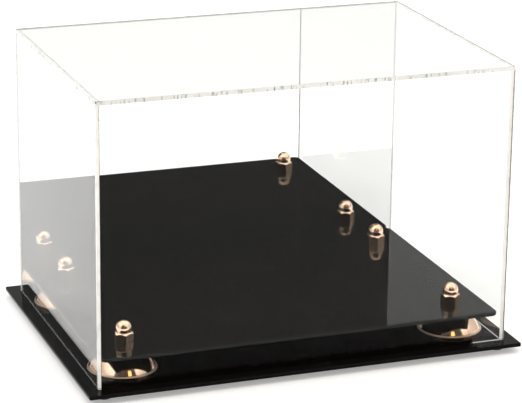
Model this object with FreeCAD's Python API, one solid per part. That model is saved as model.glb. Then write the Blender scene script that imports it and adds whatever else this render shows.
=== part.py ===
import FreeCAD, Part
import math
import os

V = FreeCAD.Vector

# A two-tier football display case: a black base on rubber feet, a black deck
# clamped on four gold risers, and a loose five-sided cover with a mirrored back.
# +X is to the right, +Y is towards the mirror, and z = 0 is the table.

# Cover
cover_width = 318.0
cover_depth = 220.0
cover_height = 212.5
panel_thickness = 3.0
cover_edge_round = 0.7

# Base plate
base_ledge_x = 9.5           # how far the base shows past the cover's sides
base_ledge_y = 11.0          # and past its front and back
base_thickness = 3.0
base_corner_radius = 1.2
plate_bevel = 0.5            # polished bevel along the edges of both black plates

# Deck plate
deck_clearance = 1.0         # from the deck's edge to the inside of the cover
deck_thickness = 3.0
deck_corner_radius = 5.0
deck_rise = 18.5             # from the base's top face to the deck's underside

# Risers
riser_inset_x = 26.5         # from the inside of the cover to the riser's axis
riser_inset_y = 33.0
cup_radius = 24.4
cup_wall = 1.2
cup_crown_margin = 3.5       # flat seat that shows round the neck's shoulder
cup_bulge = 1.1              # how far the cup's side swells past a straight cone
rim_band_height = 1.3        # straight band that stands on the base
rim_bead_radius = 0.65
rim_groove_width = 0.35      # fine step between the rim's bead and the dome's bead
dome_bead_radius = 0.45
neck_length = 2.0            # of the neck that shows between the cup's crown and the deck
neck_tail_wall = 1.4
neck_tail_length = 2.5
neck_shoulder = 1.4          # how far the neck stands out over its tail
neck_collar_lip = 1.2        # thin disc under the deck, past the neck
neck_collar_height = 1.2
neck_fillet = 0.5
tail_clearance = 0.1         # neck's tail in the cup's crown

# Fasteners
bolt_diameter = 8.0
bolt_engagement = 10.5       # how far the bolt enters the nut
bolt_head_lip = 4.5          # head past the shank
bolt_head_height = 2.5
bolt_head_bevel = 0.6
bolt_tip_bevel = 0.8
bolt_socket_across_flats = 5.0
bolt_socket_depth = 1.8
bolt_hole_clearance = 0.5    # radial, in both plates
sleeve_clearance = 0.2       # radial, in the necks
thread_clearance = 0.05      # radial, where the nut's thread takes the bolt's

# Acorn nuts
nut_across_flats = 13.0
nut_hex_height = 6.5
nut_dome_step = 0.6          # from the flats in to the dome's wall
nut_height = 15.5
nut_tip_gap = 0.3            # straight bore past the bolt's tip
nut_drill_slope = 0.5        # height of the bore's drilled point over its radius
nut_corner_bevel = 25.0      # degrees, of the turned corners under the hexagon
nut_shoulder_slope = 40.0    # degrees, of the cone over the hexagon's corners
nut_shoulder_fillet = 0.8    # from that cone up to the dome's wall
nut_turns = {"front_left": -4.0, "front_right": 5.0, "rear_left": 2.0, "rear_right": -8.0}

# Feet
foot_height = 4.5
foot_top_radius = 7.0
foot_bottom_radius = 6.0
foot_round = 1.0
foot_inset = 14.5            # from the base's edges to a foot's axis
foot_dimple_radius = 2.0
foot_dimple_depth = 0.8

# Derived sizes and levels
base_width = cover_width + 2 * base_ledge_x
base_depth = cover_depth + 2 * base_ledge_y
inner_width = cover_width - 2 * panel_thickness
inner_depth = cover_depth - 2 * panel_thickness
deck_width = inner_width - 2 * deck_clearance
deck_depth = inner_depth - 2 * deck_clearance
riser_x = inner_width / 2 - riser_inset_x
riser_y = inner_depth / 2 - riser_inset_y
foot_x = base_width / 2 - foot_inset
foot_y = base_depth / 2 - foot_inset

base_bottom = foot_height
base_top = base_bottom + base_thickness
deck_bottom = base_top + deck_rise
deck_top = deck_bottom + deck_thickness
cup_height = deck_rise - neck_length
cup_crown = base_top + cup_height
cover_top = base_top + cover_height

bolt_radius = bolt_diameter / 2
bolt_length = base_thickness + deck_rise + deck_thickness + bolt_engagement
bolt_head_radius = bolt_radius + bolt_head_lip
plate_hole_radius = bolt_radius + bolt_hole_clearance
neck_bore_radius = bolt_radius + sleeve_clearance
neck_tail_radius = neck_bore_radius + neck_tail_wall
neck_radius = neck_tail_radius + neck_shoulder
neck_collar_radius = neck_radius + neck_collar_lip
cup_crown_flat = neck_radius + cup_crown_margin
nut_dome_radius = nut_across_flats / 2 - nut_dome_step
nut_bore_depth = bolt_engagement + nut_tip_gap

corners = {
    "front_left": (-1, -1),
    "front_right": (1, -1),
    "rear_left": (-1, 1),
    "rear_right": (1, 1),
}


def turned(points, curves):
    """Solid of revolution about Z. points are (r, z); curves gives, for the
    span that starts at an index, a point that its arc passes through."""
    edges = []
    for i, start in enumerate(points):
        end = points[(i + 1) % len(points)]
        a = V(start[0], 0, start[1])
        b = V(end[0], 0, end[1])
        if i in curves:
            middle = V(curves[i][0], 0, curves[i][1])
            edges.append(Part.Arc(a, middle, b).toShape())
        else:
            edges.append(Part.LineSegment(a, b).toShape())
    face = Part.Face(Part.Wire(edges))
    return face.revolve(V(0, 0, 0), V(0, 0, 1), 360)


def quarter_point(centre, radius, degrees):
    """Point on a circle in the (r, z) plane."""
    turn = math.radians(degrees)
    return centre[0] + radius * math.cos(turn), centre[1] + radius * math.sin(turn)


def plate(width, depth, thickness, bottom, corner_radius):
    """Flat sheet, centred on the Z axis, with rounded corners and bevelled edges."""
    sheet = Part.makeBox(width, depth, thickness, V(-width / 2, -depth / 2, bottom))
    upright = [e for e in sheet.Edges if abs(e.tangentAt(e.FirstParameter).z) > 0.9]
    sheet = sheet.makeFillet(corner_radius, upright)
    outline = [e for e in sheet.Edges if abs(e.BoundBox.ZLength) < 0.001]
    return sheet.makeChamfer(plate_bevel, outline)


def drilled(sheet, thickness, bottom):
    """The sheet with a hole for each clamp bolt."""
    for side_x, side_y in corners.values():
        place = V(side_x * riser_x, side_y * riser_y, bottom - 1)
        sheet = sheet.cut(Part.makeCylinder(plate_hole_radius, thickness + 2, place))
    return sheet


def hexagon(across_flats, height, bottom):
    """Hexagonal prism about Z, with flats that face +X and -X."""
    corner_radius = across_flats / math.sqrt(3)
    outline = []
    for i in range(7):
        turn = math.radians(90 + 60 * i)
        outline.append(V(corner_radius * math.cos(turn), corner_radius * math.sin(turn), bottom))
    return Part.Face(Part.makePolygon(outline)).extrude(V(0, 0, height))


def riser_cup():
    """Thin spun bell, open below, with a beaded rim that stands on the base."""
    bore = neck_tail_radius + tail_clearance
    bead_centre = (cup_radius - rim_bead_radius, rim_band_height)
    bead_top = (bead_centre[0], rim_band_height + rim_bead_radius)
    dome_bead_outer = bead_top[0] - rim_groove_width
    dome_bead_centre = (dome_bead_outer - dome_bead_radius, bead_top[1])
    dome_foot = (dome_bead_centre[0], bead_top[1] + dome_bead_radius)
    # the side's arc swells a little past the cone from the crown to its bead
    run = dome_foot[0] - cup_crown_flat
    drop = cup_height - dome_foot[1]
    slant = math.hypot(run, drop)
    out_r, out_z = drop / slant, run / slant
    side_middle = (
        cup_crown_flat + run / 2 + cup_bulge * out_r,
        cup_height - drop / 2 + cup_bulge * out_z,
    )
    side_radius = (slant ** 2 / 4 + cup_bulge ** 2) / (2 * cup_bulge)
    centre = (side_middle[0] - side_radius * out_r, side_middle[1] - side_radius * out_z)
    # the inside follows it one wall further in
    inner_radius = side_radius - cup_wall
    inner_foot_r = cup_radius - 2 * rim_bead_radius - cup_wall
    inner_foot_z = centre[1] + math.sqrt(inner_radius ** 2 - (inner_foot_r - centre[0]) ** 2)
    inner_crown_z = cup_height - cup_wall
    inner_crown_r = centre[0] + math.sqrt(inner_radius ** 2 - (inner_crown_z - centre[1]) ** 2)
    foot_turn = math.atan2(inner_foot_z - centre[1], inner_foot_r - centre[0])
    crown_turn = math.atan2(inner_crown_z - centre[1], inner_crown_r - centre[0])
    inner_middle = quarter_point(centre, inner_radius, math.degrees((foot_turn + crown_turn) / 2))
    points = [
        (bore, cup_height),
        (cup_crown_flat, cup_height),
        dome_foot,
        (dome_bead_outer, bead_top[1]),
        bead_top,
        (cup_radius, rim_band_height),
        (cup_radius, 0),
        (cup_radius - cup_wall, 0),
        (inner_foot_r, inner_foot_z),
        (inner_crown_r, inner_crown_z),
        (bore, inner_crown_z),
    ]
    curves = {
        1: side_middle,
        2: quarter_point(dome_bead_centre, dome_bead_radius, 45),
        4: quarter_point(bead_centre, rim_bead_radius, 45),
        8: inner_middle,
    }
    return turned(points, curves)


def riser_neck():
    """Spacer sleeve. Its shoulder sits on the cup's crown and its collar holds the deck."""
    collar_foot = neck_length - neck_collar_height
    points = [
        (neck_bore_radius, -neck_tail_length),
        (neck_tail_radius, -neck_tail_length),
        (neck_tail_radius, 0),
        (neck_radius, 0),
        (neck_radius, collar_foot - neck_fillet),
        (neck_radius + neck_fillet, collar_foot),
        (neck_collar_radius, collar_foot),
        (neck_collar_radius, neck_length),
        (neck_bore_radius, neck_length),
    ]
    fillet_centre = (neck_radius + neck_fillet, collar_foot - neck_fillet)
    return turned(points, {4: quarter_point(fillet_centre, neck_fillet, 135)})


def clamp_bolt():
    """Thin-head bolt from below, with its head's top face at z = 0."""
    bolt = turned(
        [
            (0, bolt_length),
            (bolt_radius - bolt_tip_bevel, bolt_length),
            (bolt_radius, bolt_length - bolt_tip_bevel),
            (bolt_radius, 0),
            (bolt_head_radius, 0),
            (bolt_head_radius, bolt_head_bevel - bolt_head_height),
            (bolt_head_radius - bolt_head_bevel, -bolt_head_height),
            (0, -bolt_head_height),
        ],
        {},
    )
    socket = hexagon(bolt_socket_across_flats, bolt_socket_depth, -bolt_head_height)
    return bolt.cut(socket)


def acorn_nut():
    """Dome nut with turned hexagon corners and a blind bore."""
    corner_radius = nut_across_flats / math.sqrt(3)
    flat_radius = nut_across_flats / 2
    corner_step = corner_radius - flat_radius
    foot_bevel = corner_step * math.tan(math.radians(nut_corner_bevel))
    slope = math.radians(nut_shoulder_slope)
    shoulder_drop = corner_step * math.tan(slope)
    # the fillet touches both the cone and the dome's wall
    fillet = nut_shoulder_fillet
    fillet_r = nut_dome_radius + fillet
    fillet_z = nut_hex_height + (
        fillet - (fillet_r - flat_radius) * math.sin(slope)
    ) / math.cos(slope)
    cone_end = (fillet_r - fillet * math.sin(slope), fillet_z - fillet * math.cos(slope))
    dome_centre = (0, nut_height - nut_dome_radius)
    # a turned blank whose cones round the hexagon's corners
    blank = turned(
        [
            (0, 0),
            (flat_radius, 0),
            (corner_radius, foot_bevel),
            (corner_radius, nut_hex_height - shoulder_drop),
            cone_end,
            (nut_dome_radius, fillet_z),
            (nut_dome_radius, dome_centre[1]),
            (0, nut_height),
        ],
        {
            4: quarter_point((fillet_r, fillet_z), fillet, 225 - nut_shoulder_slope / 2),
            6: quarter_point(dome_centre, nut_dome_radius, 45),
        },
    )
    body = hexagon(nut_across_flats, nut_height + 1, 0).common(blank)
    bore_radius = bolt_radius + thread_clearance
    drill_point = bore_radius * nut_drill_slope
    bore = turned(
        [
            (0, -1),
            (bore_radius, -1),
            (bore_radius, nut_bore_depth),
            (0, nut_bore_depth + drill_point),
        ],
        {},
    )
    return body.cut(bore)


def rubber_foot():
    """Tapered bumper with a rounded tread and a small moulding dimple."""
    tread = foot_bottom_radius - foot_round
    points = [
        (0, foot_height),
        (foot_top_radius, foot_height),
        (foot_bottom_radius, foot_round),
        (tread, 0),
        (foot_dimple_radius, 0),
        (foot_dimple_radius - foot_dimple_depth, foot_dimple_depth),
        (0, foot_dimple_depth),
    ]
    return turned(points, {2: quarter_point((tread, foot_round), foot_round, -45)})


def cover_block():
    """Outside form of the cover as one block, with polished outer edges."""
    place = V(-cover_width / 2, -cover_depth / 2, base_top)
    block = Part.makeBox(cover_width, cover_depth, cover_height, place)
    outer = [e for e in block.Edges if e.BoundBox.ZMax > base_top + 1]
    return block.makeFillet(cover_edge_round, outer)


def cover_panels():
    """The five bonded sheets: front and mirror run full width, the sides stand
    between them, and the top lies on all four."""
    block = cover_block()
    wall_height = cover_height - panel_thickness
    left = -cover_width / 2
    front = -cover_depth / 2
    side_depth = cover_depth - 2 * panel_thickness
    side_front = front + panel_thickness
    regions = {
        "front_panel": (cover_width, panel_thickness, wall_height, V(left, front, base_top)),
        "mirror_panel": (
            cover_width, panel_thickness, wall_height,
            V(left, cover_depth / 2 - panel_thickness, base_top),
        ),
        "left_panel": (panel_thickness, side_depth, wall_height, V(left, side_front, base_top)),
        "right_panel": (
            panel_thickness, side_depth, wall_height,
            V(cover_width / 2 - panel_thickness, side_front, base_top),
        ),
        "top_panel": (
            cover_width, cover_depth, panel_thickness,
            V(left, front, cover_top - panel_thickness),
        ),
    }
    return {name: block.common(Part.makeBox(*region)) for name, region in regions.items()}


def placed(shape, x, y, z, turn=0.0):
    """Copy of a shape, turned about its own Z axis and moved to its place."""
    copy = shape.copy()
    copy.Placement = FreeCAD.Placement(V(x, y, z), FreeCAD.Rotation(V(0, 0, 1), turn))
    return copy


def build():
    base = plate(base_width, base_depth, base_thickness, base_bottom, base_corner_radius)
    deck = plate(deck_width, deck_depth, deck_thickness, deck_bottom, deck_corner_radius)
    nodes = {
        "base_plate": drilled(base, base_thickness, base_bottom),
        "deck_plate": drilled(deck, deck_thickness, deck_bottom),
    }
    cup = riser_cup()
    neck = riser_neck()
    bolt = clamp_bolt()
    nut = acorn_nut()
    foot = rubber_foot()
    for name, (side_x, side_y) in corners.items():
        x = side_x * riser_x
        y = side_y * riser_y
        nodes["riser_cup_" + name] = placed(cup, x, y, base_top)
        nodes["riser_neck_" + name] = placed(neck, x, y, cup_crown)
        nodes["clamp_bolt_" + name] = placed(bolt, x, y, base_bottom)
        nodes["acorn_nut_" + name] = placed(nut, x, y, deck_top, nut_turns[name])
        nodes["rubber_foot_" + name] = placed(foot, side_x * foot_x, side_y * foot_y, 0)
    nodes.update(cover_panels())
    return nodes


os.makedirs("parts", exist_ok=True)
for node, shape in build().items():
    solid = shape.Solids[0]
    shape_is_sound = len(shape.Solids) == 1 and solid.isValid() and solid.Volume > 0
    print(node, "ok" if shape_is_sound else "BAD", round(solid.Volume, 1))
    solid.exportStep("parts/" + node + ".step")
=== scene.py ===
import bpy
import bmesh
import math
from mathutils import Matrix, Vector


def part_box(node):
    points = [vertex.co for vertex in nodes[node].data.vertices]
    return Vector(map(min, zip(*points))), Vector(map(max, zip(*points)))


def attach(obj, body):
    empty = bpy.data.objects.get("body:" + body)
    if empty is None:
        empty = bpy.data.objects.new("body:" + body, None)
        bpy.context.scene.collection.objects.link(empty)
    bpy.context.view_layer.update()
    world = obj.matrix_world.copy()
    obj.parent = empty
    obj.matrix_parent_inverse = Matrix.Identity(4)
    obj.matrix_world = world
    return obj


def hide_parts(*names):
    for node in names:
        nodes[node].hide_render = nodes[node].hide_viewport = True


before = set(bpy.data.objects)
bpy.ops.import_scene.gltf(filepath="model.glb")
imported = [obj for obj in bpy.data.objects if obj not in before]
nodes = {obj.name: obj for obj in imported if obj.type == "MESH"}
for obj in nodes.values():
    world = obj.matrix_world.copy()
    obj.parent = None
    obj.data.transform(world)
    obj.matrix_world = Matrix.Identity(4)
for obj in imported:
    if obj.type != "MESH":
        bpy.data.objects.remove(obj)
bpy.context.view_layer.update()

corners = ["front_left", "front_right", "rear_left", "rear_right"]
tiny = 1e-6      # metres, less than any step between two faces here

print("frame loaded:", len(nodes), "nodes")

# camera

view = {
    "place": (-0.6013, -1.6462, 0.6623),
    "azimuth": 20.155,      # degrees from +Y towards +X
    "elevation": 17.82,     # degrees below the horizon
    "roll": 0.67,
    "lens": 166.59,
    "sensor": 36.0,
    "clipEnd": 50.0,
}


def addCamera(size):
    cam = bpy.data.objects.new("camera", bpy.data.cameras.new("camera"))
    bpy.context.scene.collection.objects.link(cam)
    cam.data.lens = size["lens"]
    cam.data.sensor_width = size["sensor"]
    cam.data.clip_end = size["clipEnd"]
    az, el, roll = (math.radians(size[k]) for k in ("azimuth", "elevation", "roll"))
    forward = Vector((math.sin(az) * math.cos(el), math.cos(az) * math.cos(el), -math.sin(el)))
    right = Vector((math.cos(az), -math.sin(az), 0.0))
    up = right.cross(forward)
    camX = right * math.cos(roll) + up * math.sin(roll)
    camY = up * math.cos(roll) - right * math.sin(roll)
    turn = Matrix((camX, camY, -forward)).transposed().to_4x4()
    cam.matrix_world = Matrix.Translation(size["place"]) @ turn
    bpy.context.scene.camera = cam


# short ways to add the nodes that the sky and the finishes use

def feed(tree, value, socket):
    # a plain number or colour is set on the socket, an output is linked to it
    if isinstance(value, (int, float, tuple)):
        socket.default_value = value
    else:
        tree.links.new(value, socket)


def mathNode(tree, operation, *values):
    node = tree.nodes.new("ShaderNodeMath")
    node.operation = operation
    for socket, value in zip(node.inputs, values):
        feed(tree, value, socket)
    return node.outputs[0]


def noiseNode(tree, vector, scale, detail=2.0, rough=0.5):
    node = tree.nodes.new("ShaderNodeTexNoise")
    node.inputs["Detail"].default_value = detail
    node.inputs["Roughness"].default_value = rough
    tree.links.new(vector, node.inputs["Vector"])
    feed(tree, scale, node.inputs["Scale"])
    return node.outputs["Fac"]


def stepNode(tree, value, low, high, outLow=0.0, outHigh=1.0):
    node = tree.nodes.new("ShaderNodeMapRange")
    node.interpolation_type = "SMOOTHSTEP"
    tree.links.new(value, node.inputs["Value"])
    for label, number in (("From Min", low), ("From Max", high), ("To Min", outLow), ("To Max", outHigh)):
        node.inputs[label].default_value = number
    return node.outputs[0]


def splitNode(tree, vector):
    node = tree.nodes.new("ShaderNodeSeparateXYZ")
    tree.links.new(vector, node.inputs[0])
    return node.outputs


def joinNode(tree, *values):
    node = tree.nodes.new("ShaderNodeCombineXYZ")
    for socket, value in zip(node.inputs, values):
        feed(tree, value, socket)
    return node.outputs[0]


def mixNumber(tree, factor, a, b):
    node = tree.nodes.new("ShaderNodeMix")
    feed(tree, factor, node.inputs["Factor"])
    feed(tree, a, node.inputs["A"])
    feed(tree, b, node.inputs["B"])
    return node.outputs["Result"]


def mixColour(tree, factor, a, b):
    node = tree.nodes.new("ShaderNodeMix")
    node.data_type = "RGBA"
    tree.links.new(factor, node.inputs["Factor"])
    for label, value in (("A", a), ("B", b)):
        feed(tree, value, [s for s in node.inputs if s.name == label and s.type == "RGBA"][0])
    return [s for s in node.outputs if s.type == "RGBA"][0]


# floor and light

studio = {
    "floorRadius": 9.0,
    "floorSides": 96,
    "floorColour": (0.94, 0.94, 0.935, 1),
    "floorRoughness": 0.9,
    "floorShine": 0.1,
    "floorGlow": 0.34,               # a lit table, so the case throws only a faint shade
    "glowColour": (1, 1, 0.995, 1),
    "skyColour": (1.0, 0.995, 0.985, 1),
    "frontLight": 0.90,
    "backLight": 0.70,
    "highLight": 1.42,
    "frontToBack": (-0.55, 0.45),    # along Y, where the front light gives way to the back light
    "softboxFoot": (0.40, 0.62),     # up Z, where the softbox overhead begins
    "flagLeft": (-1.06, -0.86),      # radians round from the front, minus is left
    "flagRight": (0.64, 0.48),
    "flagTop": (0.90, 0.80),
    "flagLight": 0.07,
    "lampPlaces": ((0.02, -0.76, 0.94), (0.0, -0.98, 0.72)),
    "lampSide": 0.21,
    "lampColour": (1.0, 0.60, 0.22),
    "lampPower": 0.30,
}


def addFloor(size):
    mesh = bpy.data.meshes.new("studioFloor")
    bm = bmesh.new()
    bmesh.ops.create_circle(bm, cap_ends=True, segments=size["floorSides"], radius=size["floorRadius"])
    bm.to_mesh(mesh)
    bm.free()
    floor = bpy.data.objects.new("studioFloor", mesh)
    bpy.context.scene.collection.objects.link(floor)
    mat = bpy.data.materials.new("studioPaper")
    mat.use_nodes = True
    bsdf = mat.node_tree.nodes["Principled BSDF"]
    bsdf.inputs["Base Color"].default_value = size["floorColour"]
    bsdf.inputs["Roughness"].default_value = size["floorRoughness"]
    bsdf.inputs["Specular IOR Level"].default_value = size["floorShine"]
    bsdf.inputs["Emission Color"].default_value = size["glowColour"]
    bsdf.inputs["Emission Strength"].default_value = size["floorGlow"]
    mesh.materials.append(mat)


def addSky(size):
    # soft light from the front and the back, and a softbox overhead
    world = bpy.data.worlds.new("studioSky")
    world.use_nodes = True
    bpy.context.scene.world = world
    tree = world.node_tree
    tree.nodes.clear()
    coords = tree.nodes.new("ShaderNodeTexCoord")
    x, y, z = splitNode(tree, coords.outputs["Generated"])
    along = stepNode(tree, y, *size["frontToBack"], size["frontLight"], size["backLight"])
    high = stepNode(tree, z, *size["softboxFoot"])
    light = mixNumber(tree, high, along, size["highLight"])
    # a dark flag stands round the front, and the gold and the deck pick it up
    turned = mathNode(tree, "ARCTAN2", x, mathNode(tree, "MULTIPLY", y, -1.0))
    shade = mathNode(tree, "MULTIPLY", stepNode(tree, turned, *size["flagLeft"]),
                     stepNode(tree, turned, *size["flagRight"]))
    shade = mathNode(tree, "MULTIPLY", shade, stepNode(tree, z, *size["flagTop"]))
    sky = tree.nodes.new("ShaderNodeBackground")
    sky.inputs["Color"].default_value = size["skyColour"]
    tree.links.new(mixNumber(tree, shade, light, size["flagLight"]), sky.inputs["Strength"])
    out = tree.nodes.new("ShaderNodeOutputWorld")
    tree.links.new(sky.outputs[0], out.inputs[0])
    bpy.context.scene.view_settings.view_transform = "Standard"


def addLamps(size):
    # two small warm lamps over the front, seen only as glints in the gold
    for number, lampPlace in enumerate(size["lampPlaces"]):
        lamp = bpy.data.lights.new("warmLamp" + str(number), "AREA")
        lamp.size = size["lampSide"]
        lamp.color = size["lampColour"]
        lamp.energy = size["lampPower"]
        holder = bpy.data.objects.new("warmLamp" + str(number), lamp)
        holder.location = lampPlace
        holder.rotation_euler = (-holder.location).to_track_quat("-Z", "Y").to_euler()
        bpy.context.scene.collection.objects.link(holder)


addCamera(view)
addFloor(studio)
addSky(studio)
addLamps(studio)
print("camera and studio set")


# shader groups shared by the finishes

def newGroup(name, inputs, output):
    group = bpy.data.node_groups.new(name, "ShaderNodeTree")
    group.interface.new_socket("Vector", in_out="INPUT", socket_type="NodeSocketVector")
    for label, value in inputs.items():
        group.interface.new_socket(label, in_out="INPUT", socket_type="NodeSocketFloat").default_value = value
    for label in output:
        group.interface.new_socket(label, in_out="OUTPUT", socket_type="NodeSocketFloat")
    return group, group.nodes.new("NodeGroupInput").outputs, group.nodes.new("NodeGroupOutput").inputs


def makeDustSpecks():
    # single specks and short lint, gathered in drifts
    group, given, out = newGroup("dustSpecks", {"Scale": 900.0, "Cover": 0.12, "Drift Scale": 34.0}, ["Mask"])
    cells = group.nodes.new("ShaderNodeTexVoronoi")
    cells.inputs["Randomness"].default_value = 1.0
    group.links.new(given["Vector"], cells.inputs["Vector"])
    group.links.new(given["Scale"], cells.inputs["Scale"])
    drift = stepNode(group, noiseNode(group, given["Vector"], given["Drift Scale"], 3.0, 0.6), 0.42, 0.7)
    reach = mathNode(group, "MULTIPLY", drift, given["Cover"])
    group.links.new(mathNode(group, "LESS_THAN", cells.outputs["Distance"], reach), out["Mask"])
    return group


def makeHairlines(angles=(17.0, -63.0)):
    # fine wiping marks in two directions, in degrees
    group, given, out = newGroup("hairlines", {"Scale": 40.0, "Stretch": 45.0}, ["Mask"])
    marks = []
    for angle in angles:
        turn = group.nodes.new("ShaderNodeVectorRotate")
        turn.rotation_type = "Z_AXIS"
        turn.inputs["Angle"].default_value = math.radians(angle)
        group.links.new(given["Vector"], turn.inputs["Vector"])
        x, y, z = splitNode(group, turn.outputs[0])
        drawn = joinNode(group, x, mathNode(group, "MULTIPLY", y, given["Stretch"]), z)
        marks.append(stepNode(group, noiseNode(group, drawn, given["Scale"], 3.0, 0.7), 0.62, 0.78))
    group.links.new(mathNode(group, "MAXIMUM", *marks), out["Mask"])
    return group


def makeRipple():
    # the slow waviness that cast sheet and plating have
    group, given, out = newGroup("ripple", {"Scale": 30.0, "Fine": 0.25, "Fine Ratio": 14.0}, ["Height"])
    slow = noiseNode(group, given["Vector"], given["Scale"], 1.0)
    quick = noiseNode(group, given["Vector"], mathNode(group, "MULTIPLY", given["Scale"], given["Fine Ratio"]))
    fine = mathNode(group, "MULTIPLY", quick, given["Fine"])
    group.links.new(mathNode(group, "ADD", slow, fine), out["Height"])
    return group


risers = {
    "Post X": 0.1295,        # each riser's axis, out from the middle of the case
    "Post Y": 0.074,
    "Pitch": 2600.0,
}


def makeTurningRings(size):
    # lathe rings about the axis of whichever riser is nearest
    group, given, out = newGroup("turningRings", size, ["Rings", "Radius"])
    x, y, z = splitNode(group, given["Vector"])
    dx = mathNode(group, "SUBTRACT", mathNode(group, "ABSOLUTE", x), given["Post X"])
    dy = mathNode(group, "SUBTRACT", mathNode(group, "ABSOLUTE", y), given["Post Y"])
    squares = mathNode(group, "ADD", mathNode(group, "MULTIPLY", dx, dx), mathNode(group, "MULTIPLY", dy, dy))
    radius = mathNode(group, "SQRT", squares)
    rings = noiseNode(group, joinNode(group, radius, z), given["Pitch"], 2.0, 0.6)
    group.links.new(rings, out["Rings"])
    group.links.new(radius, out["Radius"])
    return group


dustSpecks = makeDustSpecks()
hairlines = makeHairlines()
ripple = makeRipple()
turningRings = makeTurningRings(risers)
print("shader groups made")


# finishes

def newFinish(name):
    mat = bpy.data.materials.new(name)
    mat.use_nodes = True
    tree = mat.node_tree
    coords = tree.nodes.new("ShaderNodeTexCoord")
    return mat, tree, tree.nodes["Principled BSDF"].inputs, coords.outputs["Object"]


def place(tree, group, vector, **values):
    node = tree.nodes.new("ShaderNodeGroup")
    node.node_tree = group
    tree.links.new(vector, node.inputs["Vector"])
    for label, value in values.items():
        node.inputs[label].default_value = value
    return node.outputs


def addBump(tree, surface, height, distance):
    bump = tree.nodes.new("ShaderNodeBump")
    bump.inputs["Strength"].default_value = 1.0
    bump.inputs["Distance"].default_value = distance
    tree.links.new(height, bump.inputs["Height"])
    tree.links.new(bump.outputs[0], surface["Normal"])


def passShadows(tree):
    # light reaches what stands inside the case
    path = tree.nodes.new("ShaderNodeLightPath")
    clear = tree.nodes.new("ShaderNodeBsdfTransparent")
    mix = tree.nodes.new("ShaderNodeMixShader")
    tree.links.new(path.outputs["Is Shadow Ray"], mix.inputs[0])
    tree.links.new(tree.nodes["Principled BSDF"].outputs[0], mix.inputs[1])
    tree.links.new(clear.outputs[0], mix.inputs[2])
    tree.links.new(mix.outputs[0], tree.nodes["Material Output"].inputs[0])


acrylic = {
    "tint": (0.992, 0.996, 0.992, 1),
    "ior": 1.49,
    "faceOn": (0.05, 0.05, 0.05, 1),     # how little it reflects when seen square on
    "waveScale": 9.0,
    "waveDepth": 0.00012,
}


def makeClearSheet(look):
    mat, tree, surface, where = newFinish("clearSheet")
    surface["Base Color"].default_value = look["tint"]
    surface["IOR"].default_value = look["ior"]
    surface["Transmission Weight"].default_value = 1.0
    surface["Specular Tint"].default_value = look["faceOn"]
    surface["Roughness"].default_value = 0.0
    wave = place(tree, ripple, where, Scale=look["waveScale"], Fine=0.0)
    addBump(tree, surface, wave["Height"], look["waveDepth"])
    passShadows(tree)
    return mat


cutEdge = {
    "pale": (0.97, 0.975, 0.95, 1),
    "cloudy": (0.84, 0.85, 0.82, 1),
    "streak": (0.36, 0.38, 0.33, 1),
    "streakScale": 480.0,
    "streakStretch": (1.0, 1.0, 0.16),
    "streakFrom": (0.52, 0.68),
    "cloudScale": 22.0,
    "markScale": 700.0,
    "roughness": (0.08, 0.3),
    "markDepth": 0.00006,
}


def makePolishedEdge(look):
    # the saw and the flame leave streaks up the edge
    mat, tree, surface, where = newFinish("polishedEdge")
    cut = tree.nodes.new("ShaderNodeMapping")
    cut.inputs["Scale"].default_value = look["streakStretch"]
    tree.links.new(where, cut.inputs["Vector"])
    marks = noiseNode(tree, where, look["markScale"], 3.0, 0.7)
    grain = noiseNode(tree, cut.outputs[0], look["streakScale"], 3.0, 0.65)
    streaks = stepNode(tree, grain, *look["streakFrom"])
    cloud = stepNode(tree, noiseNode(tree, where, look["cloudScale"]), 0.35, 0.7)
    base = mixColour(tree, cloud, look["pale"], look["cloudy"])
    tree.links.new(mixColour(tree, streaks, base, look["streak"]), surface["Base Color"])
    tree.links.new(stepNode(tree, marks, 0.2, 0.8, *look["roughness"]), surface["Roughness"])
    addBump(tree, surface, marks, look["markDepth"])
    return mat


cement = {
    "film": (0.99, 0.985, 0.96, 1),
    "thinFilm": (0.66, 0.66, 0.62, 1),
    "filmScale": 160.0,
    "glowColour": (1.0, 0.985, 0.95, 1),
    "paintedGlow": 0.38,                        # painted glow, in place of the light that the sheet carries to its joint
    "line": (0.20, 0.20, 0.19, 1),
    "darkLine": (0.04, 0.035, 0.035, 1),
    "lineScale": 310.0,
    "bubble": (0.05, 0.045, 0.045, 1),
    "paleBubble": (0.22, 0.21, 0.2, 1),
    "bubbleScale": 900.0,
}


def makeSeamFilm(look):
    mat, tree, surface, where = newFinish("seamFilm")
    flow = stepNode(tree, noiseNode(tree, where, look["filmScale"], 3.0, 0.65), 0.42, 0.68)
    tree.links.new(mixColour(tree, flow, look["film"], look["thinFilm"]), surface["Base Color"])
    surface["Roughness"].default_value = 0.6
    # painted glow: the film shines by itself so that it looks lit
    surface["Emission Color"].default_value = look["glowColour"]
    surface["Emission Strength"].default_value = look["paintedGlow"]
    return mat


def makeSeamLine(look):
    mat, tree, surface, where = newFinish("seamLine")
    flow = stepNode(tree, noiseNode(tree, where, look["lineScale"], 3.0, 0.75), 0.47, 0.60)
    tree.links.new(mixColour(tree, flow, look["line"], look["darkLine"]), surface["Base Color"])
    surface["Roughness"].default_value = 0.5
    return mat


def makeSeamBubble(look):
    mat, tree, surface, where = newFinish("seamBubble")
    flow = noiseNode(tree, where, look["bubbleScale"], 1.0)
    tree.links.new(mixColour(tree, flow, look["bubble"], look["paleBubble"]), surface["Base Color"])
    surface["Roughness"].default_value = 0.2
    return mat


mirror = {
    "silver": (0.90, 0.91, 0.905, 1),
    "sheetEdge": (0.72, 0.76, 0.73, 1),
    "paint": (0.215, 0.225, 0.235, 1),
    "palePaint": (0.275, 0.285, 0.295, 1),
    "silverTo": 0.10705,                 # just behind the front face
    "paintFrom": 0.10995,                # just before the back face
    "edgeRoughness": 0.12,
    "paintRoughness": 0.35,              # more than the edge's
    "rollerScale": 520.0,
    "rollerDepth": 0.0001,
}


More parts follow.
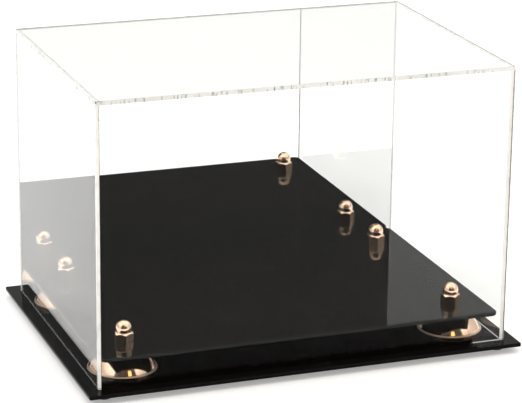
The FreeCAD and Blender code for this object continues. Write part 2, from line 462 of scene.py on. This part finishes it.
def makeMirrorSheet(look):
    # silver on the front face, grey roller paint on the back
    mat, tree, surface, where = newFinish("mirrorSheet")
    depth = splitNode(tree, where)["Y"]
    silver = mathNode(tree, "LESS_THAN", depth, look["silverTo"])
    painted = mathNode(tree, "GREATER_THAN", depth, look["paintFrom"])
    roller = place(tree, ripple, where, Scale=look["rollerScale"], Fine=0.9)["Height"]
    paintTone = mixColour(tree, roller, look["paint"], look["palePaint"])
    sheet = mixColour(tree, painted, look["sheetEdge"], paintTone)
    tree.links.new(mixColour(tree, silver, sheet, look["silver"]), surface["Base Color"])
    tree.links.new(silver, surface["Metallic"])
    dull = mathNode(tree, "MULTIPLY_ADD", painted, look["paintRoughness"], look["edgeRoughness"])
    bare = mathNode(tree, "SUBTRACT", 1.0, silver)
    tree.links.new(mathNode(tree, "MULTIPLY", dull, bare), surface["Roughness"])
    addBump(tree, surface, mathNode(tree, "MULTIPLY", roller, painted), look["rollerDepth"])
    return mat


blackSheet = {
    "black": (0.0045, 0.0040, 0.0038, 1),
    "dust": (0.085, 0.08, 0.075, 1),
    "dustScale": 620.0,
    "dustCover": 0.17,
    "dustRoughness": 0.5,
    "wipeScale": 26.0,
    "wipeStretch": 60.0,
    "wipeRoughness": 0.09,
    "roughness": 0.025,
    "ior": 1.49,
    "baseShine": 0.05,
    "deckShine": 0.2,
    "waveScale": 18.0,
    "waveDepth": 0.00010,
}


def makeBlackSheet(name, look, shine):
    mat, tree, surface, where = newFinish(name)
    dust = place(tree, dustSpecks, where, Scale=look["dustScale"], Cover=look["dustCover"])["Mask"]
    wiped = place(tree, hairlines, where, Scale=look["wipeScale"], Stretch=look["wipeStretch"])["Mask"]
    wave = place(tree, ripple, where, Scale=look["waveScale"], Fine=0.02)
    tree.links.new(mixColour(tree, dust, look["black"], look["dust"]), surface["Base Color"])
    worn = mathNode(tree, "MULTIPLY_ADD", wiped, look["wipeRoughness"], look["roughness"])
    dusty = mathNode(tree, "MULTIPLY", dust, look["dustRoughness"])
    tree.links.new(mathNode(tree, "ADD", worn, dusty), surface["Roughness"])
    surface["IOR"].default_value = look["ior"]
    surface["Specular IOR Level"].default_value = look[shine]
    addBump(tree, surface, wave["Height"], look["waveDepth"])
    return mat


gold = {
    "bright": (0.96, 0.69, 0.50, 1),
    "tarnished": (0.90, 0.57, 0.36, 1),
    # painted highlight for the bead round each cup's rim
    "paintedRimHighlight": (1.0, 0.80, 0.68, 1),
    "tarnishScale": 70.0,
    "tarnishRoughness": 0.05,
    "ringPitch": 2400.0,
    "ringShare": 0.25,                   # of the bump's height
    "roughness": (0.035, 0.11),
    "rimHeight": 0.0091,                 # the middle of the bead
    "rimHalf": 0.0004,
    "rimRadius": 0.0232,                 # the bead lies outside this
    "rimMetalLoss": 0.8,
    "rimRoughness": 0.2,
    "peelScale": 320.0,
    "peelDepth": 0.00003,
}


def makeGoldPlating(look):
    mat, tree, surface, where = newFinish("goldPlating")
    turned = place(tree, turningRings, where, Pitch=look["ringPitch"])
    tone = stepNode(tree, noiseNode(tree, where, look["tarnishScale"], 4.0, 0.65), 0.45, 0.75)
    # painted highlight: the bead round each cup's rim is painted paler and less metallic, in place of the
    # bright line the light draws along it
    bead = mathNode(tree, "COMPARE", splitNode(tree, where)["Z"], look["rimHeight"], look["rimHalf"])
    outside = mathNode(tree, "GREATER_THAN", turned["Radius"], look["rimRadius"])
    rim = mathNode(tree, "MULTIPLY", bead, outside)
    plating = mixColour(tree, tone, look["bright"], look["tarnished"])
    tree.links.new(mixColour(tree, rim, plating, look["paintedRimHighlight"]), surface["Base Color"])
    loss = mathNode(tree, "MULTIPLY", rim, look["rimMetalLoss"])
    tree.links.new(mathNode(tree, "SUBTRACT", 1.0, loss), surface["Metallic"])
    rough = stepNode(tree, turned["Rings"], 0.35, 0.75, *look["roughness"])
    rough = mathNode(tree, "MULTIPLY_ADD", rim, look["rimRoughness"], rough)
    rough = mathNode(tree, "MULTIPLY_ADD", tone, look["tarnishRoughness"], rough)
    tree.links.new(rough, surface["Roughness"])
    peel = place(tree, ripple, where, Scale=look["peelScale"], Fine=0.15)["Height"]
    height = mathNode(tree, "MULTIPLY_ADD", turned["Rings"], look["ringShare"], peel)
    addBump(tree, surface, height, look["peelDepth"])
    return mat


zinc = {
    "blue": (0.50, 0.52, 0.55, 1),
    "straw": (0.66, 0.64, 0.56, 1),
    "cloudScale": 180.0,
    "ringPitch": 5200.0,
    "roughness": (0.22, 0.42),
    "ringDepth": 0.00005,
}


def makeZincSteel(look):
    mat, tree, surface, where = newFinish("zincSteel")
    rings = place(tree, turningRings, where, Pitch=look["ringPitch"])["Rings"]
    cloud = noiseNode(tree, where, look["cloudScale"], 3.0, 0.6)
    tree.links.new(mixColour(tree, cloud, look["blue"], look["straw"]), surface["Base Color"])
    surface["Metallic"].default_value = 1.0
    tree.links.new(stepNode(tree, rings, 0.3, 0.8, *look["roughness"]), surface["Roughness"])
    addBump(tree, surface, rings, look["ringDepth"])
    return mat


rubber = {
    "black": (0.018, 0.018, 0.018, 1),
    "dust": (0.12, 0.115, 0.11, 1),
    "dustScale": 1500.0,
    "dustCover": 0.3,
    "grainScale": 2600.0,
    "grainDepth": 0.00008,
    "roughness": (0.55, 0.8),
}


def makeFootRubber(look):
    mat, tree, surface, where = newFinish("footRubber")
    grain = noiseNode(tree, where, look["grainScale"], 2.0, 0.6)
    dust = place(tree, dustSpecks, where, Scale=look["dustScale"], Cover=look["dustCover"])["Mask"]
    tree.links.new(mixColour(tree, dust, look["black"], look["dust"]), surface["Base Color"])
    tree.links.new(stepNode(tree, grain, 0.3, 0.7, *look["roughness"]), surface["Roughness"])
    addBump(tree, surface, grain, look["grainDepth"])
    return mat


def paint(names, mat):
    for name in names:
        mesh = nodes[name].data
        mesh.materials.clear()
        mesh.materials.append(mat)


def atCorners(*stems):
    return [stem + "_" + c for stem in stems for c in corners]


clearSheet = makeClearSheet(acrylic)
polishedEdge = makePolishedEdge(cutEdge)
seamFilm = makeSeamFilm(cement)
seamLine = makeSeamLine(cement)
seamBubble = makeSeamBubble(cement)
paint(["mirror_panel"], makeMirrorSheet(mirror))
paint(["base_plate"], makeBlackSheet("blackBaseSheet", blackSheet, "baseShine"))
paint(["deck_plate"], makeBlackSheet("blackDeckSheet", blackSheet, "deckShine"))
paint(atCorners("riser_cup", "riser_neck", "acorn_nut"), makeGoldPlating(gold))
paint(atCorners("clamp_bolt"), makeZincSteel(zinc))
paint(atCorners("rubber_foot"), makeFootRubber(rubber))
print("finishes on the frame's nodes")

# the clear cover: four sheets cemented into one shell

cover = {
    "sheet": 0.003,
    "standOff": 0.00005,     # air left against the base and the mirror
    "edgeRound": 0.0007,
    "roundSteps": 3,
}


def addPiece(name, bm, materials=()):
    mesh = bpy.data.meshes.new(name)
    bm.to_mesh(mesh)
    bm.free()
    for mat in materials:
        mesh.materials.append(mat)
    return linkPiece(name, mesh)


def linkPiece(name, mesh):
    piece = bpy.data.objects.new(name, mesh)
    bpy.context.scene.collection.objects.link(piece)
    return piece


def onCover(piece):
    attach(piece, "cover")
    print(piece.name + ":", len(piece.data.polygons), "faces")


def makeCoverShell(size):
    low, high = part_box("top_panel")
    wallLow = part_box("front_panel")[0].z
    sheet, gap = size["sheet"], size["standOff"]
    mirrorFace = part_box("mirror_panel")[0].y
    xs = [low.x, low.x + sheet, high.x - sheet, high.x]
    ys = [low.y, low.y + sheet, mirrorFace - gap, high.y]
    zs = [wallLow + gap, low.z + gap, high.z]
    # cells between those planes that hold acrylic: all of the top layer, and the walls under it
    solid = {(i, j, 1) for i in range(3) for j in range(3)}
    solid |= {(0, 0, 0), (1, 0, 0), (2, 0, 0), (0, 1, 0), (2, 1, 0)}
    bm = bmesh.new()
    made = {}

    def corner(i, j, k):
        if (i, j, k) not in made:
            made[i, j, k] = bm.verts.new((xs[i], ys[j], zs[k]))
        return made[i, j, k]

    # one quad wherever a filled cell meets an empty one
    for (i, j, k) in sorted(solid):
        for axis in range(3):
            for side in (0, 1):
                other = [i, j, k]
                other[axis] += 1 if side else -1
                if tuple(other) in solid:
                    continue
                loop = []
                for a, b in ((0, 0), (1, 0), (1, 1), (0, 1)):
                    at = [i, j, k]
                    at[axis] += side
                    at[(axis + 1) % 3] += a
                    at[(axis + 2) % 3] += b
                    loop.append(corner(*at))
                if not side:
                    loop.reverse()
                face = bm.faces.new(loop)
                rim = axis < 2 and k == 1
                frontEnd = axis == 0 and j == 0
                rearEnd = axis == 1 and side == 1 and k == 0 and j == 1 and i != 1
                face.material_index = 1 if rim or frontEnd or rearEnd else 0

    def outer(edge):
        a, b = (v.co for v in edge.verts)
        onX = all(abs(abs(p.x) - high.x) < tiny for p in (a, b))
        onFront = all(abs(p.y - low.y) < tiny for p in (a, b))
        onBack = all(abs(p.y - high.y) < tiny for p in (a, b))
        onTop = all(abs(p.z - high.z) < tiny for p in (a, b))
        return (onTop and (onX or onFront or onBack)) or (onX and (onFront or onBack))

    bmesh.ops.bevel(bm, geom=[e for e in bm.edges if outer(e)], offset=size["edgeRound"],
                    segments=size["roundSteps"], profile=0.5, affect="EDGES", material=0)
    return addPiece("coverShell", bm, [clearSheet, polishedEdge])


coverShell = makeCoverShell(cover)
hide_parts("front_panel", "left_panel", "right_panel", "top_panel")
onCover(coverShell)

# the cement between the sheets: a pale film with darker borders

seams = {
    "width": 0.0029,
    "border": 0.0003,
    "thickness": 0.00006,
    "inset": 0.00025,        # back from the open ends
    "rearGap": 0.0002,       # in front of the mirror
}


def seamRuns():
    # start, end, the direction across, and which of its sides show a dark border
    low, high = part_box("top_panel")
    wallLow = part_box("front_panel")[0].z
    sheet = cover["sheet"]
    half = sheet / 2
    acrossX, acrossY = Vector((1, 0, 0)), Vector((0, 1, 0))
    joint = low.z + 2 * cover["standOff"]
    front, back = low.y + sheet, high.y - sheet
    rear = back - seams["rearGap"]
    runs = []
    for x, borders in ((low.x + half, (-1, 1)), (high.x - half, (1,))):
        runs.append((Vector((x, front, joint)), Vector((x, back, joint)), acrossX, borders))
        for y in (front, rear):
            runs.append((Vector((x, y, wallLow)), Vector((x, y, low.z)), acrossX, borders))
    y = low.y + half
    runs.append((Vector((low.x, y, joint)), Vector((high.x, y, joint)), acrossY, (1,)))
    return runs


def makeSeamStrips(size):
    bm = bmesh.new()
    half = size["width"] / 2
    offsets = [-half, -half + size["border"], half - size["border"], half]
    for start, end, across, borders in seamRuns():
        along = (end - start).normalized()
        thin = along.cross(across) * size["thickness"] / 2
        rings = []
        for point in (start + along * size["inset"], end - along * size["inset"]):
            rings.append([[bm.verts.new(point + across * o + thin * s) for o in offsets] for s in (-1, 1)])
        for n in range(3):
            mat = 1 if n - 1 in borders else 0
            for s in (0, 1):
                face = bm.faces.new((rings[0][s][n], rings[0][s][n + 1], rings[1][s][n + 1], rings[1][s][n]))
                inward = thin.y * (2 * s - 1) > tiny
                face.material_index = 1 if inward else mat
            for ring in rings:
                bm.faces.new((ring[0][n], ring[0][n + 1], ring[1][n + 1], ring[1][n])).material_index = mat
        for n in (0, 3):
            bm.faces.new((rings[0][0][n], rings[0][1][n], rings[1][1][n], rings[1][0][n])).material_index = 1
    bmesh.ops.recalc_face_normals(bm, faces=bm.faces)
    return addPiece("seamStrips", bm, [seamFilm, seamLine])


onCover(makeSeamStrips(seams))

# bubbles caught in the cement, larger in the level seams than in the upright ones

bubbles = {
    "seamBubblesLevel": {
        "Spacing": 0.0100, "Keep": 0.55, "Small": 0.00026, "Large": 0.00048, "Length": 4.0, "Seed": 7},
    "seamBubblesUpright": {
        "Spacing": 0.0034, "Keep": 0.55, "Small": 0.00014, "Large": 0.00036, "Length": 3.0, "Seed": 12},
    "endMargin": 0.004,      # kept free at both ends of a seam
    "roundness": 2,          # subdivisions of each bubble
}


def makeBubbleTree(roundness):
    tree = bpy.data.node_groups.new("seamBubbles", "GeometryNodeTree")
    socket = tree.interface.new_socket
    socket("Geometry", in_out="INPUT", socket_type="NodeSocketGeometry")
    for label in ("Spacing", "Keep", "Small", "Large", "Length"):
        socket(label, in_out="INPUT", socket_type="NodeSocketFloat")
    socket("Seed", in_out="INPUT", socket_type="NodeSocketInt")
    socket("Finish", in_out="INPUT", socket_type="NodeSocketMaterial")
    socket("Geometry", in_out="OUTPUT", socket_type="NodeSocketGeometry")
    add, link = tree.nodes.new, tree.links.new
    given, out = add("NodeGroupInput").outputs, add("NodeGroupOutput")
    curve = add("GeometryNodeMeshToCurve")
    points = add("GeometryNodeCurveToPoints")
    points.mode = "LENGTH"
    link(given["Geometry"], curve.inputs["Mesh"])
    link(curve.outputs[0], points.inputs["Curve"])
    link(given["Spacing"], points.inputs["Length"])
    keep = add("FunctionNodeRandomValue")
    keep.data_type = "BOOLEAN"
    link(given["Keep"], keep.inputs["Probability"])
    link(given["Seed"], keep.inputs["Seed"])
    ball = add("GeometryNodeMeshIcoSphere")
    ball.inputs["Radius"].default_value = 1.0
    ball.inputs["Subdivisions"].default_value = roundness
    girth = add("FunctionNodeRandomValue")
    link(given["Small"], girth.inputs[2])
    link(given["Large"], girth.inputs[3])
    link(given["Seed"], girth.inputs["Seed"])
    stretch = add("FunctionNodeRandomValue")
    stretch.inputs[2].default_value = 1.0
    link(given["Length"], stretch.inputs[3])
    link(mathNode(tree, "ADD", given["Seed"], 1), stretch.inputs["Seed"])
    tall = mathNode(tree, "MULTIPLY", girth.outputs[1], stretch.outputs[1])
    onto = add("GeometryNodeInstanceOnPoints")
    link(points.outputs["Points"], onto.inputs["Points"])
    link(points.outputs["Rotation"], onto.inputs["Rotation"])
    link(keep.outputs[3], onto.inputs["Selection"])
    link(ball.outputs["Mesh"], onto.inputs["Instance"])
    link(joinNode(tree, girth.outputs[1], girth.outputs[1], tall), onto.inputs["Scale"])
    real = add("GeometryNodeRealizeInstances")
    finish = add("GeometryNodeSetMaterial")
    link(onto.outputs[0], real.inputs[0])
    link(real.outputs[0], finish.inputs["Geometry"])
    link(given["Finish"], finish.inputs["Material"])
    link(finish.outputs[0], out.inputs["Geometry"])
    return tree


def growMesh(name, bm, tree, values):
    guide = addPiece(name + "Guide", bm)
    mod = guide.modifiers.new("grow", "NODES")
    mod.node_group = tree
    for item in tree.interface.items_tree:
        if item.in_out == "INPUT" and item.name in values:
            mod[item.identifier] = values[item.name]
    depsgraph = bpy.context.evaluated_depsgraph_get()
    mesh = bpy.data.meshes.new_from_object(guide.evaluated_get(depsgraph), depsgraph=depsgraph)
    mesh.name = name
    guide.modifiers.remove(mod)
    bpy.data.objects.remove(guide)
    return linkPiece(name, mesh)


def makeBubbles(name, tree, size, upright):
    bm = bmesh.new()
    shift = seams["width"] / 2 - seams["border"] / 2
    for start, end, across, borders in seamRuns():
        if (start.x == end.x and start.y == end.y) != upright:
            continue
        along = (end - start).normalized() * size["endMargin"]
        for side in borders:
            a = bm.verts.new(start + along + across * shift * side)
            b = bm.verts.new(end - along + across * shift * side)
            bm.edges.new((a, b))
    return growMesh(name, bm, tree, {**size[name], "Finish": seamBubble})


bubbleTree = makeBubbleTree(bubbles["roundness"])
onCover(makeBubbles("seamBubblesLevel", bubbleTree, bubbles, False))
onCover(makeBubbles("seamBubblesUpright", bubbleTree, bubbles, True))
